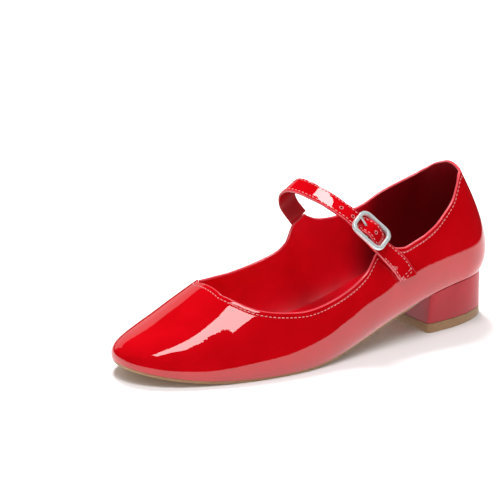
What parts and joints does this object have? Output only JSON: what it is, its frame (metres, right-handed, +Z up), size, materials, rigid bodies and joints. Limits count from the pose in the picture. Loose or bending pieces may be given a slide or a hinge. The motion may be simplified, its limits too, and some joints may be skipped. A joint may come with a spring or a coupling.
{
  "type": "mary jane shoe",
  "caption": "Left mary jane pump: hollow upper open at throat and collar, instep strap with buckle, separate sole, low block heel and top lift.",
  "frame": {"origin": "centre of the bounding box at floor level, under the middle of the shoe", "axes": "+Z up, -Y towards the toe, +Y towards the heel, +X towards the lateral side, where the buckle is"},
  "size_m": [0.0836, 0.241, 0.0923],
  "materials": {
    "upper": "red patent leather, mirror gloss",
    "insole": "smooth red lining leather",
    "outsole": "matte tan sheet rubber",
    "heel_block": "red patent wrap, mirror gloss",
    "top_lift": "matte tan rubber",
    "strap": "red patent leather, mirror gloss",
    "buckle_tab": "red patent leather, mirror gloss",
    "buckle_frame": "satin silver",
    "buckle_prong": "satin silver"
  },
  "bodies": {
    "root": {"upper": "upper", "insole": "insole", "outsole": "outsole", "heel_block": "heel_block", "top_lift": "top_lift", "strap": "strap", "buckle_tab": "buckle_tab", "buckle_frame": "buckle_frame", "buckle_prong": "buckle_prong"}
  },
  "joints": []
}
